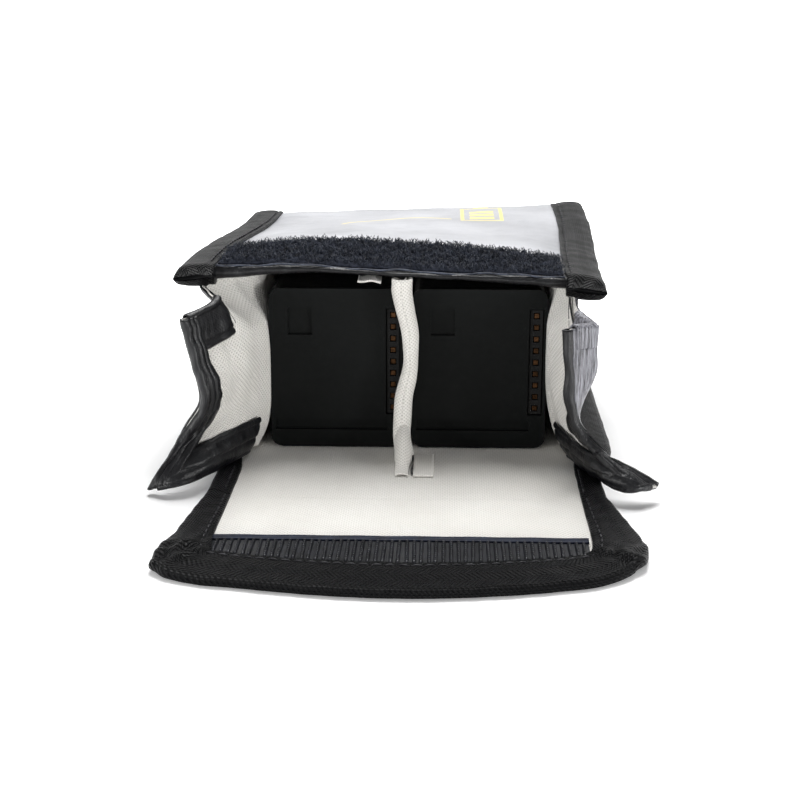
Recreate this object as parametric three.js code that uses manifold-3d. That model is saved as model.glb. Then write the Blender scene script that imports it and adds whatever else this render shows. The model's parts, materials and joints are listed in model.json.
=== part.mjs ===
// Fire-resistant pouch for two lithium battery packs, lying on its back with its flap open.
// Millimetres. +X right, +Y into the pouch, +Z up. The origin is on the surface that the pouch
// lies on, under the middle of the front panel's lip.

import * as THREE from 'three';
import { mergeVertices } from 'three/addons/utils/BufferGeometryUtils.js';
import Module from 'manifold-3d';

const wasm = await Module();
wasm.setup();

// ---- Driving dimensions -------------------------------------------------------------------

const pouch = { halfWidth: 57, height: 50, rear: 121, seam: 46 };
const crown = { rise: 4.6, level: 75, end: 120 };   // front panel's bulge, level and then falling
const crownShares = [0, 0.1, 0.35, 0.6, 0.78, 0.9];   // its stations across, closer where it bends
const fallShares = [0, 0.25, 0.5, 0.75];              // its stations along, where it falls
const fold = { y: -8, z: 2 };            // line that the flap turns on
const coverLength = 56.2;                // flap's first stretch, which stands in front of the mouth
const crease = { y: fold.y - coverLength, z: fold.z };
const tip = { front: -93, corner: -87, radius: 10 };

const tape = 0.7;                        // woven binding
const cloth = 0.6;                       // coated outer cloth
const lining = 0.4;                      // glass cloth lining
const hemCloth = 0.5;                    // turned edge of coated cloth
const gap = 0.3;                         // air between two pieces that are sewn face to face
const foldGap = 0.6;                     // a panel stops this far from a fold line
const bindingGap = 1.7;                  // a binding is thicker, and stops this far from it
const edge = pouch.halfWidth - tape - gap;   // raw edge of every panel, inside the binding

const gussetFront = 4;                   // where the side gusset ends and its wing begins
const wingFront = -23;

const battery = {
  width: 37.2, bottom: 2.6, top: 48.0, front: 4, rear: 99, centre: 19.7, radius: 3,
};

// Heights of the layers that the side bindings hold, from the surface up and from the top down.
const backCloth = tape + gap;
const backLining = backCloth + cloth + gap;
const lowFlangeLining = backLining + lining + gap;
const lowFlangeCloth = lowFlangeLining + lining + gap;
const lowBindingTop = lowFlangeCloth + cloth + gap + tape;
const flapBindingTop = backLining + lining + gap + tape;
const fromTop = (height) => pouch.height - height;

// ---- Colours ------------------------------------------------------------------------------

const finishes = {
  outer: { color: 0xb9bcc0, roughness: 0.38, metalness: 0.35 },
  side: { color: 0x17181b, roughness: 0.34, metalness: 0.0 },
  inner: { color: 0xe9e7e0, roughness: 0.85, metalness: 0.0 },
  binding: { color: 0x24262b, roughness: 0.75, metalness: 0.0 },
  loop: { color: 0x20252f, roughness: 0.95, metalness: 0.0 },
  hook: { color: 0x11141a, roughness: 0.6, metalness: 0.0 },
  pack: { color: 0x141516, roughness: 0.5, metalness: 0.0 },
  contact: { color: 0xb58a3c, roughness: 0.35, metalness: 1.0 },
  button: { color: 0x2b2d30, roughness: 0.4, metalness: 0.0 },
};

const part = new THREE.Group();

function add(name, geometry, finish) {
  const mesh = new THREE.Mesh(geometry, new THREE.MeshStandardMaterial(finishes[finish]));
  mesh.name = name;
  part.add(mesh);
}

// ---- Shape helpers ------------------------------------------------------------------------

function box([x0, x1], [y0, y1], [z0, z1]) {
  const geometry = new THREE.BoxGeometry(x1 - x0, y1 - y0, z1 - z0);
  return geometry.translate((x0 + x1) / 2, (y0 + y1) / 2, (z0 + z1) / 2);
}

// An outline is a list of [a, b] points. It is pulled along the third axis.
function alongY(outline, [y0, y1]) {
  const shape = new THREE.Shape(outline.map(([x, z]) => new THREE.Vector2(x, z)));
  const geometry = new THREE.ExtrudeGeometry(shape, { depth: y1 - y0, bevelEnabled: false });
  return geometry.rotateX(Math.PI / 2).translate(0, y1, 0);
}

function alongZ(outline, [z0, z1]) {
  const shape = new THREE.Shape(outline.map(([x, y]) => new THREE.Vector2(x, y)));
  const geometry = new THREE.ExtrudeGeometry(shape, { depth: z1 - z0, bevelEnabled: false });
  return geometry.translate(0, 0, z0);
}

// Outline of a strip of the given thickness whose middle follows the path.
function strip(path, thickness) {
  const points = path.map(([a, b]) => new THREE.Vector2(a, b));
  const sides = points.slice(1).map((point, i) => {
    const direction = point.clone().sub(points[i]).normalize();
    return new THREE.Vector2(-direction.y, direction.x);
  });
  const offsets = points.map((_, i) => {
    const before = sides[Math.max(i - 1, 0)];
    const after = sides[Math.min(i, sides.length - 1)];
    const middle = before.clone().add(after).normalize();
    return middle.multiplyScalar(thickness / 2 / middle.dot(after));
  });
  const left = points.map((point, i) => point.clone().add(offsets[i]));
  const right = points.map((point, i) => point.clone().sub(offsets[i])).reverse();
  return [...left, ...right].map((point) => [point.x, point.y]);
}

const mirrored = (outline) => outline.map(([x, other]) => [-x, other]).reverse();

// side is -1 for the left and +1 for the right; the shapes below are drawn for the left.
const sided = (outline, side) => (side < 0 ? outline : mirrored(outline));

function solid(geometry) {
  const bare = geometry.clone();
  bare.deleteAttribute('normal');
  bare.deleteAttribute('uv');
  const merged = mergeVertices(bare, 1e-4);
  return new wasm.Manifold(new wasm.Mesh({
    numProp: 3,
    vertProperties: new Float32Array(merged.attributes.position.array),
    triVerts: new Uint32Array(merged.index.array),
  }));
}

function shapeOf(manifold) {
  const mesh = manifold.getMesh();
  const geometry = new THREE.BufferGeometry();
  geometry.setAttribute('position', new THREE.BufferAttribute(mesh.vertProperties, 3));
  geometry.setIndex(new THREE.BufferAttribute(mesh.triVerts, 1));
  return geometry;
}

const joined = (...shapes) => shapeOf(shapes.map(solid).reduce((all, one) => all.add(one)));
const cut = (body, ...tools) => shapeOf(
  tools.map(solid).reduce((rest, tool) => rest.subtract(tool), solid(body)),
);

// Closed sheet between two grids of points: outer[i][j] and inner[i][j].
function closedSheet(outer, inner) {
  const rows = outer.length;
  const columns = outer[0].length;
  const positions = [...outer.flat(), ...inner.flat()].flat();
  const faces = [];
  const quad = (a, b, c, d) => faces.push(a, b, c, a, c, d);
  const at = (layer, i, j) => layer * rows * columns + i * columns + j;
  for (let i = 0; i + 1 < rows; i += 1) {
    for (let j = 0; j + 1 < columns; j += 1) {
      quad(at(0, i, j), at(0, i, j + 1), at(0, i + 1, j + 1), at(0, i + 1, j));
      quad(at(1, i, j), at(1, i + 1, j), at(1, i + 1, j + 1), at(1, i, j + 1));
    }
  }
  for (let i = 0; i + 1 < rows; i += 1) {
    quad(at(0, i, 0), at(0, i + 1, 0), at(1, i + 1, 0), at(1, i, 0));
    quad(at(0, i, columns - 1), at(1, i, columns - 1), at(1, i + 1, columns - 1), at(0, i + 1, columns - 1));
  }
  for (let j = 0; j + 1 < columns; j += 1) {
    quad(at(0, 0, j), at(1, 0, j), at(1, 0, j + 1), at(0, 0, j + 1));
    quad(at(0, rows - 1, j), at(0, rows - 1, j + 1), at(1, rows - 1, j + 1), at(1, rows - 1, j));
  }
  const geometry = new THREE.BufferGeometry();
  geometry.setAttribute('position', new THREE.Float32BufferAttribute(positions, 3));
  geometry.setIndex(faces);
  return geometry;
}

// Height that the front panel stands above its side seams.
function crownAt(x, y) {
  const fall = Math.min(Math.max((y - crown.level) / (crown.end - crown.level), 0), 1);
  return crown.rise * (1 - Math.min(Math.abs(x) / pouch.seam, 1) ** 4) * (1 - fall ** 2 * (3 - 2 * fall));
}

// Stations across the front panel, out to a half width.
function stations(halfWidth) {
  const right = crownShares.map((share) => share * pouch.seam).filter((x) => x < halfWidth).slice(1);
  const all = right.concat(halfWidth > pouch.seam ? [pouch.seam, halfWidth] : [halfWidth]);
  return [...all.map((x) => -x).reverse(), ...all];
}

// Closed sheet whose section, two matching rows of [y, z] points, is swept across the crown.
function crownedSheet(upper, lower, halfWidth) {
  const swept = (row) => row.map(([y, z]) => stations(halfWidth).map((x) => [x, y, z + crownAt(x, y)]));
  return closedSheet(swept(upper), swept(lower));
}

function crownedPanel(halfWidth, [y0, y1], [z0, z1]) {
  const fallSteps = fallShares.map((share) => crown.level + (crown.end - crown.level) * share);
  const depths = [y0, ...fallSteps.filter((y) => y < y1), y1];
  return crownedSheet(depths.map((y) => [y, z1]), depths.map((y) => [y, z0]), halfWidth);
}

// ---- Outer strip: front panel, base and back panel ----------------------------------------

const panelRear = 120;                   // outer face of the base
const baseCloth = [panelRear - cloth, panelRear];
const baseLining = [baseCloth[0] - gap - lining, baseCloth[0] - gap];
const frontCloth = fromTop(backCloth + cloth);
const frontLining = fromTop(backLining + lining);
const lip = -1;                          // raw front edge of the front panel, inside its hem
const backStart = fold.y + foldGap;

add('front_shell', crownedPanel(edge, [lip, panelRear], [frontCloth, frontCloth + cloth]), 'outer');
add('front_lining', crownedPanel(edge, [lip, baseLining[1]], [frontLining, frontLining + lining]), 'inner');

// The back panel's cloth sinks between its two bindings and lies on the surface.
const sink = { top: pouch.seam - 0.6, bottom: pouch.seam - 2.6 };
const backPath = [
  [-edge, backCloth + cloth / 2], [-sink.top, backCloth + cloth / 2], [-sink.bottom, cloth / 2],
  [sink.bottom, cloth / 2], [sink.top, backCloth + cloth / 2], [edge, backCloth + cloth / 2],
];
add('back_shell', alongY(strip(backPath, cloth), [backStart, panelRear]), 'outer');
const backLiningRun = [backStart, baseLining[1]];
add('back_lining', box([-edge, edge], backLiningRun, [backLining, backLining + lining]), 'inner');

// The base is as tall as the space between the panels, and lower where the side seams hold it.
const seamBottom = lowBindingTop + gap;
const seamTop = fromTop(seamBottom);
function basePanel(bottom) {
  const top = fromTop(bottom);
  const middle = pouch.seam - gap;
  return [
    [-edge, seamBottom], [-middle, seamBottom], [-middle, bottom], [middle, bottom],
    [middle, seamBottom], [edge, seamBottom], [edge, seamTop], [middle, seamTop],
    [middle, top], [-middle, top], [-middle, seamTop], [-edge, seamTop],
  ];
}
add('base_shell', alongY(basePanel(backCloth + cloth + gap), baseCloth), 'outer');
add('base_lining', alongY(basePanel(backLining + lining + gap), baseLining), 'inner');

// ---- Gussets ------------------------------------------------------------------------------

// Each gusset bulges inwards at half height. Its top, bottom and rear edges turn outwards as
// flanges, which the bindings hold against the panels.
const middleHeight = pouch.height / 2;
function gussetPath(flangeHeight, corner, waist) {
  const rise = 2;
  const lower = [
    [-edge, flangeHeight], [corner - rise * 0.8, flangeHeight], [corner, flangeHeight + rise],
    [waist - 1, middleHeight / 2], [waist, middleHeight],
  ];
  const upper = lower.slice(0, -1).map(([x, z]) => [x, fromTop(z)]).reverse();
  return [...lower, ...upper];
}

// Rear flange, from the gusset's wall out to the raw edge.
function rearFlange(path) {
  const wall = path.filter(([, z]) => z > seamBottom && z < seamTop);
  return [[-edge, seamTop], [-edge, seamBottom], [wall[0][0], seamBottom], ...wall, [wall[0][0], seamTop]];
}

const clothPath = gussetPath(lowFlangeCloth + cloth / 2, -44.6, -42.6);
const liningPath = gussetPath(lowFlangeLining + lining / 2, -43.7, -41.7);
const gussetLiningRear = baseLining[0] - gap;
const gussetClothRear = gussetLiningRear - lining - gap;

function gusset(path, thickness, rear, side) {
  const wall = alongY(sided(strip(path, thickness), side), [gussetFront, rear]);
  const flange = alongY(sided(rearFlange(path), side), [rear - thickness, rear]);
  return joined(wall, flange);
}

// ---- Side bindings ------------------------------------------------------------------------

// Woven tape folded over the raw edges: a channel that opens towards the pouch. The leg on the
// gusset's side is a little shorter, because the gusset turns away there.
const outerLeg = -(pouch.seam + 0.3);
const gussetLeg = -(pouch.seam + 0.9);
const web = -(pouch.halfWidth - tape / 2);
const channel = (low, high, lowLeg, highLeg) => strip(
  [[lowLeg, low + tape / 2], [web, low + tape / 2], [web, high - tape / 2], [highLeg, high - tape / 2]],
  tape,
);

const sides = [['left', -1], ['right', 1]];
const bindingFront = -3;

for (const [name, side] of sides) {
  add(`${name}_gusset_shell`, gusset(clothPath, cloth, gussetClothRear, side), 'side');
  add(`${name}_gusset_lining`, gusset(liningPath, lining, gussetLiningRear, side), 'inner');

  const front = channel(fromTop(lowBindingTop), pouch.height, gussetLeg, outerLeg);
  add(`${name}_binding_front`, alongY(sided(front, side), [bindingFront, pouch.rear]), 'binding');

  const back = channel(0, lowBindingTop, outerLeg, gussetLeg);
  const backRun = [fold.y + bindingGap, pouch.rear];
  add(`${name}_binding_back`, alongY(sided(back, side), backRun), 'binding');

  const base = channel(pouch.rear - lowBindingTop, pouch.rear, gussetLeg, outerLeg);
  add(`${name}_binding_base`, alongZ(sided(base, side), [seamBottom, seamTop]), 'binding');
}

// ---- Mouth: hem, loop strip and divider ---------------------------------------------------

const hem = {
  halfWidth: pouch.seam - 1.4, topDepth: 21, underDepth: 12,
  top: frontCloth + cloth + gap + hemCloth / 2, under: frontLining - gap - hemCloth / 2,
  web: lip - 2 * gap - hemCloth / 2,
};
const hemPath = [
  [hem.topDepth, hem.top], [hem.web, hem.top], [hem.web, hem.under], [hem.underDepth, hem.under],
];

const hemOutline = strip(hemPath, hemCloth);
const hemUpper = hemOutline.slice(0, hemPath.length);
const hemLower = hemOutline.slice(hemPath.length).reverse();
add('front_hem', crownedSheet(hemUpper, hemLower, hem.halfWidth), 'side');

const loop = { bottom: hem.top + hemCloth / 2 + gap, pile: 1.6, y: [0.5, 20] };
const loopTop = loop.bottom + loop.pile;
add('loop_strip', crownedPanel(hem.halfWidth, loop.y, [loop.bottom, loopTop]), 'loop');

// The divider stands between the two packs, as tall as the crowned panel allows.
const divider = { thickness: 0.9, front: 0, rear: 116, flangeWidth: 4 };
const dividerBottom = backLining + lining + gap;
const dividerTop = hem.under - hemCloth / 2 - gap;
const dividerDepths = fallShares.map((share) => crown.level + (divider.rear - crown.level) * share);
const dividerRun = [divider.front, ...dividerDepths, divider.rear];

function standingSheet(depths, bottom, top, thickness) {
  const side = (x) => depths.map((y) => [[x, y, bottom], [x, y, top + crownAt(divider.flangeWidth, y)]]);
  return closedSheet(side(-thickness / 2), side(thickness / 2));
}
add('divider_panel', standingSheet(dividerRun, dividerBottom, dividerTop, divider.thickness), 'inner');

// Its top edge is sewn to the front panel's lining as a flange.
const flangeZ = [dividerTop + gap / 2, frontLining - gap];
const flangeRun = [hem.underDepth + 2 * gap, ...dividerDepths, divider.rear];
const flangeLayer = (z) => flangeRun.map((y) => (
  [-divider.flangeWidth, divider.flangeWidth].map((x) => [x, y, z + crownAt(x, y)])
));
add('divider_top_flange', closedSheet(flangeLayer(flangeZ[1]), flangeLayer(flangeZ[0])), 'inner');

// ---- Flap ---------------------------------------------------------------------------------

const coverRun = [crease.y + foldGap, fold.y - foldGap];
add('flap_cover_shell', box([-edge, edge], coverRun, [backCloth, backCloth + cloth]), 'outer');
add('flap_cover_lining', box([-edge, edge], coverRun, [backLining, backLining + lining]), 'inner');
for (const [name, side] of sides) {
  const section = channel(0, flapBindingTop, outerLeg, outerLeg);
  const run = [crease.y + bindingGap, fold.y - bindingGap];
  add(`${name}_flap_binding`, alongY(sided(section, side), run), 'binding');
}

// Outline of the tip, drawn in from its outer edge by inset: two sides, round corners and a
// front edge that bows forwards.
function tipOutline(inset, rearEdge) {
  const half = pouch.halfWidth - inset;
  const radius = Math.max(tip.radius - inset, 1);
  const cornerY = tip.corner + inset;
  const left = [];
  for (let i = 0; i <= 6; i += 1) {
    const angle = Math.PI + (Math.PI / 2) * (i / 6);
    left.push([-half + radius + radius * Math.cos(angle), cornerY + radius + radius * Math.sin(angle)]);
  }
  const inner = half - radius;
  const bow = tip.corner - tip.front;
  for (let i = 1; i < 6; i += 1) {
    const x = -inner + inner * (i / 6);
    left.push([x, cornerY - bow * (1 - (x / inner) ** 2)]);
  }
  const right = left.map(([x, y]) => [-x, y]).reverse();
  return [[-half, rearEdge], ...left, [0, cornerY - bow], ...right, [half, rearEdge]];
}

const bindingWidth = pouch.halfWidth - pouch.seam;
const tipStart = crease.y - foldGap;
add('flap_tip_shell', alongZ(tipOutline(tape + gap, tipStart), [backCloth, backCloth + cloth]), 'outer');
add('flap_tip_lining', alongZ(tipOutline(tape + gap, tipStart), [backLining, backLining + lining]), 'inner');
add('flap_tip_binding', cut(
  alongZ(tipOutline(0, crease.y - bindingGap), [0, flapBindingTop]),
  alongZ(tipOutline(tape, crease.y), [tape, flapBindingTop - tape]),
  alongZ(tipOutline(bindingWidth, crease.y), [-1, flapBindingTop + 1]),
), 'binding');

// The hook strip fills the tip's lining from just past the crease to the binding.
const hook = { start: crease.y - 0.9, base: backLining + lining + gap, height: 0.7 };
const hookOutline = tipOutline(bindingWidth + gap, hook.start);
add('hook_strip', alongZ(hookOutline, [hook.base, hook.base + hook.height]), 'hook');

// ---- Wings --------------------------------------------------------------------------------

// Each wing carries its gusset forwards past the mouth and splays out to a low tip.
// across = 0 at the gusset and 1 at the front; up = 0 at the bottom and 1 at the top.
const wingRear = { y: gussetFront - 0.4, bottom: 6, top: 44.2 };
const wingShape = {
  left: { low: [-65, 3.8], mid: [-49.3, 24], high: [-56.5, 45] },
  right: { low: [-65, 3.8], mid: [-41.2, 23], high: [-50, 44.6] },
};

function wingPoint(shape, across, up) {
  const swell = (2 * up - 1) ** 2;
  const rear = [-42.6 - 2.2 * swell, wingRear.bottom + (wingRear.top - wingRear.bottom) * up];
  const half = up < 0.5 ? up * 2 : (up - 0.5) * 2;
  const [from, to] = up < 0.5 ? [shape.low, shape.mid] : [shape.mid, shape.high];
  const front = [from[0] + (to[0] - from[0]) * half, from[1] + (to[1] - from[1]) * half];
  const x = rear[0] + (front[0] - rear[0]) * across;
  const z = rear[1] + (front[1] - rear[1]) * across;
  return [x, wingRear.y + (wingFront - wingRear.y) * across, z];
}

// One piece of a wing: the part of its surface in the given spans, set inwards by inset.
function wingPatch(shape, side, [across0, across1], [up0, up1], inset, thickness) {
  const steps = [4, 8];
  const grid = (offset) => Array.from({ length: steps[0] + 1 }, (_, i) => (
    Array.from({ length: steps[1] + 1 }, (_unused, j) => {
      const across = across0 + (across1 - across0) * (i / steps[0]);
      const up = up0 + (up1 - up0) * (j / steps[1]);
      const [x, y, z] = wingPoint(shape, across, up);
      return [-side * (x + offset), y, z];
    })
  ));
  const near = grid(inset);
  const far = grid(inset + thickness);
  return side < 0 ? closedSheet(far, near) : closedSheet(near, far);
}

const wingPieces = [
  ['shell', [0, 1], [0, 1], -cloth / 2, cloth, 'side'],
  ['lining', [0, 1], [0, 1], cloth / 2 + 0.4, lining, 'inner'],
  ['front_hem', [0.66, 1], [0.22, 0.78], 1.5, hemCloth, 'side'],
  ['top_hem', [0.12, 1], [0.8, 1], 1.5, hemCloth, 'side'],
  ['bottom_hem', [0.12, 1], [0, 0.2], 1.5, hemCloth, 'side'],
];
for (const [name, side] of sides) {
  for (const [piece, across, up, inset, thickness, finish] of wingPieces) {
    add(`${name}_wing_${piece}`, wingPatch(wingShape[name], side, across, up, inset, thickness), finish);
  }
}

// ---- Battery packs ------------------------------------------------------------------------

function roundedSection(halfWidth, bottom, top, radius) {
  const corners = [[1, 1], [-1, 1], [-1, -1], [1, -1]];
  const middle = (bottom + top) / 2;
  const halfHeight = (top - bottom) / 2;
  return corners.flatMap(([sx, sz], corner) => Array.from({ length: 5 }, (_, i) => {
    const angle = (Math.PI / 2) * (corner + i / 4);
    return [
      sx * (halfWidth - radius) + radius * Math.cos(angle),
      middle + sz * (halfHeight - radius) + radius * Math.sin(angle),
    ];
  }));
}

function roundPlug(radius, [y0, y1], z) {
  const geometry = new THREE.CylinderGeometry(radius, radius, y1 - y0, 24);
  return geometry.translate(0, (y0 + y1) / 2, z);
}

const capDepth = 2.7;                    // moulded end that faces the mouth
const batteryMiddle = (battery.bottom + battery.top) / 2;
const contact = { x: 15.6, bottom: 12.5, top: 42.2, count: 9, blade: 1.2 };
const block = { x: [contact.x - 1.7, contact.x + 1.7], z: [contact.bottom, contact.top] };
const buttonRadius = 6;
const buttonPocket = 3;                  // depth of the hole that the button moves in

function batteryCase() {
  const outline = roundedSection(battery.width / 2, battery.bottom, battery.top, battery.radius);
  const body = alongY(outline, [battery.front + capDepth + gap, battery.rear]);
  const pocketRun = [battery.rear - buttonPocket, battery.rear + 1];
  const pocket = roundPlug(buttonRadius + gap, pocketRun, batteryMiddle);
  return cut(body, pocket);
}

function batteryEndCap() {
  const outline = roundedSection(battery.width / 2, battery.bottom, battery.top, battery.radius);
  const body = alongY(outline, [battery.front, battery.front + capDepth]);
  const keyRecess = box([-13.4, -6.8], [battery.front - 1, battery.front + 1], [35, 42.6]);
  const groove = box([-17.4, 14], [battery.front - 1, battery.front + 1.2], [7.6, 10.6]);
  const window = box(
    [block.x[0] - gap, block.x[1] + gap],
    [battery.front - 1, battery.front + capDepth + 1],
    [block.z[0] - gap, block.z[1] + gap],
  );
  return cut(body, keyRecess, groove, window);
}

// Insulating block with a slot for each contact; the contacts share one strip behind it.
const blockRun = [battery.front + 0.6, battery.front + 1.6];
const contactPitch = (contact.top - contact.bottom) / contact.count;
const contactHeights = Array.from(
  { length: contact.count },
  (_, i) => contact.bottom + contactPitch * (i + 0.5),
);

function contactBlock() {
  const slots = contactHeights.map((z) => box(
    [contact.x - contact.blade / 2 - gap, contact.x + contact.blade / 2 + gap],
    [blockRun[0] - 1, blockRun[1] + 1],
    [z - contact.blade / 2 - gap, z + contact.blade / 2 + gap],
  ));
  return cut(box(block.x, blockRun, block.z), ...slots);
}

function contactComb() {
  const stripX = [contact.x - contact.blade / 2, contact.x + contact.blade / 2];
  const back = box(stripX, [blockRun[1] + gap, battery.front + capDepth], [block.z[0] + 1, block.z[1] - 1]);
  const blades = contactHeights.map((z) => box(
    stripX,
    [blockRun[0] + 0.2, blockRun[1] + gap + 0.1],
    [z - contact.blade / 2, z + contact.blade / 2],
  ));
  return joined(back, ...blades);
}

for (const [name, side] of sides) {
  const pieces = [
    ['case', batteryCase(), 'pack'],
    ['end_cap', batteryEndCap(), 'pack'],
    ['contact_block', contactBlock(), 'pack'],
    ['contacts', contactComb(), 'contact'],
    ['button', roundPlug(buttonRadius, [battery.rear - 1.6, battery.rear + 0.6], batteryMiddle), 'button'],
  ];
  for (const [piece, geometry, finish] of pieces) {
    add(`${name}_battery_${piece}`, geometry.translate(side * battery.centre, 0, 0), finish);
  }
}

export default part;
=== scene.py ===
"""Looks of an open battery pouch with two packs in it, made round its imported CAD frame.

Shapes are worked out in millimetres in the frame's own axes (+X right, +Y into the pouch, +Z up)
and become metres as each mesh is made.
"""

import json
import math

import bpy
import numpy as np
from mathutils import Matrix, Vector


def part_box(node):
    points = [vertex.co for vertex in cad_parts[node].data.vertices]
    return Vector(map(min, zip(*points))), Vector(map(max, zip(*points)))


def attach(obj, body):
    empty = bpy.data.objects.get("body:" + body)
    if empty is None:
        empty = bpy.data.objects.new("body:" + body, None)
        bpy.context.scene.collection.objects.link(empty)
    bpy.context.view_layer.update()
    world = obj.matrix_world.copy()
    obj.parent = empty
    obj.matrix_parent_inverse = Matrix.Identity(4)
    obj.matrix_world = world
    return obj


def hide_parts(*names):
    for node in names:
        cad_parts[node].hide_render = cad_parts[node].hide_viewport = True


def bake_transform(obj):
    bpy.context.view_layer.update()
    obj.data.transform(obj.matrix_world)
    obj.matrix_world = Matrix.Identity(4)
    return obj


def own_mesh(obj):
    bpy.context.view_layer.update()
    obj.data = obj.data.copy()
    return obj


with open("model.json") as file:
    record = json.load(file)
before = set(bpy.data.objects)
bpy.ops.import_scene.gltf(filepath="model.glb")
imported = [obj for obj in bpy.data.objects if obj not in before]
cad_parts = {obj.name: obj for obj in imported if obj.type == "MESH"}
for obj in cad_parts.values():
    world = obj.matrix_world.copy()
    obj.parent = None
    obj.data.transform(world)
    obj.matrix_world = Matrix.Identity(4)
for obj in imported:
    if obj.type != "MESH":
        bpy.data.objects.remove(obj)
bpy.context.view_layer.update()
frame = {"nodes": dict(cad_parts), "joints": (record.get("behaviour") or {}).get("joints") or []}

MM = 0.001
SIDES = (("left", -1), ("right", 1))


# ---- Places taken from the frame -------------------------------------------------------------


def box_mm(node):
    low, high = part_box(node)
    return np.array(low) / MM, np.array(high) / MM


JOINTS = {joint["name"]: joint for joint in frame["joints"]}
FOLD_Y = JOINTS["flap_fold"]["pos_m"][1] / MM
CREASE_Y = JOINTS["flap_tip_fold"]["pos_m"][1] / MM

BINDING_LOW, BINDING_HIGH = box_mm("right_binding_front")
HALF = BINDING_HIGH[0]  # half of the pouch's width
REAR = BINDING_HIGH[1]
SEAM_TOP = BINDING_HIGH[2]  # height of the side seams
BINDING = HALF - BINDING_LOW[0]  # width of the binding that shows
BAG_SEAM = SEAM_TOP - BINDING_LOW[2]  # thickness of a bound side seam
FLAP_SEAM = box_mm("left_flap_binding")[1][2]
INNER = HALF - BINDING  # inner edge of the side bindings
PANEL_TOP = SEAM_TOP - 1.0  # outer face of the front panel's cloth at the seams
FLOOR_TOP = box_mm("back_lining")[1][2]  # upper face of the lining that the packs stand on
MID_COVER = (FOLD_Y + CREASE_Y) / 2  # the flap's pieces meet here, where nothing bends
LOOP_REAR = box_mm("loop_strip")[1][1]
HOOK_REAR = box_mm("hook_strip")[1][1]
GUSSET_FRONT = 3.6  # a gusset ends and its wing begins
WING_FRONT = box_mm("left_wing_front_hem")[0][1] - 1.0


# ---- Curves and soft unevenness --------------------------------------------------------------


def smooth(t):
    t = np.clip(t, 0.0, 1.0)
    return t * t * (3 - 2 * t)


def mixed(a, b, t):
    return a + (b - a) * t


def bump_at(value, middle, width):
    """A rounded bump, 1 at the middle."""
    return np.exp(-(((value - middle) / width) ** 2))


def stacked(x, y, z):
    """Points from coordinates that may be rows, columns or single numbers."""
    return np.stack(np.broadcast_arrays(x, y, z), -1).astype(float)


def unit(vectors):
    return vectors / np.maximum(np.linalg.norm(vectors, axis=-1, keepdims=True), 1e-9)


def through(places, values, at):
    """A smooth curve through the values given at rising places."""
    places = np.asarray(places, float)
    values = np.asarray(values, float)
    slopes = np.gradient(values, places, axis=0)
    at = np.clip(np.asarray(at, float), places[0], places[-1])
    i = np.clip(np.searchsorted(places, at) - 1, 0, len(places) - 2)
    span = places[i + 1] - places[i]
    t = (at - places[i]) / span
    if values.ndim > 1:
        t, span = t[..., None], span[..., None]
    rise = 3 * t**2 - 2 * t**3
    start = (t - 2 * t**2 + t**3) * span * slopes[i]
    end = (t**3 - t**2) * span * slopes[i + 1]
    return values[i] * (1 - rise) + values[i + 1] * rise + start + end


def creases(seed, size, stretch=(1, 1, 1), count=11):
    """A smooth random field over points, from about -1 to 1, with bumps about size across."""
    chance = np.random.default_rng(seed)
    direction = unit(chance.normal(size=(count, 3)))
    wave = 2 * np.pi / size * chance.uniform(0.6, 1.7, count)
    wave = (direction * wave[:, None]) / np.array(stretch, float)
    phase = chance.uniform(0, 2 * np.pi, count)

    def field(points):
        return np.sin(points @ wave.T + phase).sum(-1) / math.sqrt(count)

    return field


def normals_of(points):
    """Unit normals of a grid of points, from its two directions."""
    return unit(np.cross(np.gradient(points, axis=0), np.gradient(points, axis=1)))


def lengths_along(points):
    """Running length of each line of a grid along its first direction."""
    steps = np.linalg.norm(np.diff(points, axis=0), axis=-1)
    return np.concatenate([np.zeros((1,) + steps.shape[1:]), np.cumsum(steps, axis=0)])


# ---- Meshes ----------------------------------------------------------------------------------


def mesh_object(name, points, faces, material, uv=None):
    mesh = bpy.data.meshes.new(name)
    mesh.from_pydata((np.asarray(points, float) * MM).tolist(), [], faces)
    mesh.materials.append(material)
    mesh.polygons.foreach_set("use_smooth", [True] * len(mesh.polygons))
    if uv is not None:
        layer = mesh.uv_layers.new(name="cloth")
        layer.data.foreach_set("uv", np.asarray(uv, np.float32).ravel())
    mesh.validate()
    obj = bpy.data.objects.new(name, mesh)
    bpy.context.scene.collection.objects.link(obj)
    return obj


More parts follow.
